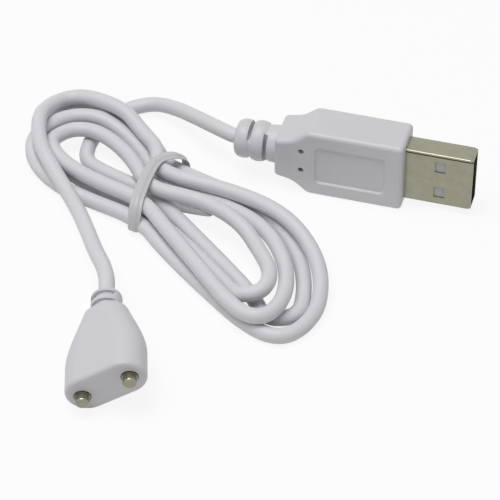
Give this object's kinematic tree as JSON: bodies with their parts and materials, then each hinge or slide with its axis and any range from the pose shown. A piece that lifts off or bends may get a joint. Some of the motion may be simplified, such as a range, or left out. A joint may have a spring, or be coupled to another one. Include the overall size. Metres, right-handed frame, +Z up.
{
  "type": "charging cable",
  "caption": "White charging cable with a flat metal-shelled plug at one end, a magnetic pin connector at the other, and its round cord wound into a hank held by a twist tie.",
  "frame": {"origin": "on the table under the middle of the plug, which stands on one narrow side", "axes": "+X along the plug, the way it goes into its socket; +Y across its thickness; +Z up, across its width"},
  "size_m": [0.091, 0.0886, 0.015],
  "materials": {
    "white_moulding": "satin",
    "white_cord": "satin",
    "white_tie": "semi-gloss",
    "white_insert": "satin",
    "shell_metal": "nickel-plated, satin",
    "contact_metal": "plated, bright",
    "pin_metal": "nickel-plated, bright",
    "magnet_plating": "nickel-plated",
    "red_insulation": "matt",
    "black_insulation": "matt"
  },
  "bodies": {
    "root": {"plug_overmould": "white_moulding", "plug_shell": "shell_metal", "plug_contact_block": "white_insert", "contact_power": "contact_metal", "contact_data_minus": "contact_metal", "contact_data_plus": "contact_metal", "contact_ground": "contact_metal", "plug_inner_mould": "white_insert", "plug_lead_power": "red_insulation", "plug_lead_ground": "black_insulation", "connector_body": "white_moulding", "contact_pin_positive": "pin_metal", "contact_pin_negative": "pin_metal", "magnet_positive": "magnet_plating", "magnet_negative": "magnet_plating", "connector_lead_positive": "red_insulation", "connector_lead_negative": "black_insulation", "twist_tie": "white_tie", "cord_to_plug": "white_cord", "cord_hank": "white_cord", "cord_to_connector": "white_cord"}
  },
  "joints": []
}
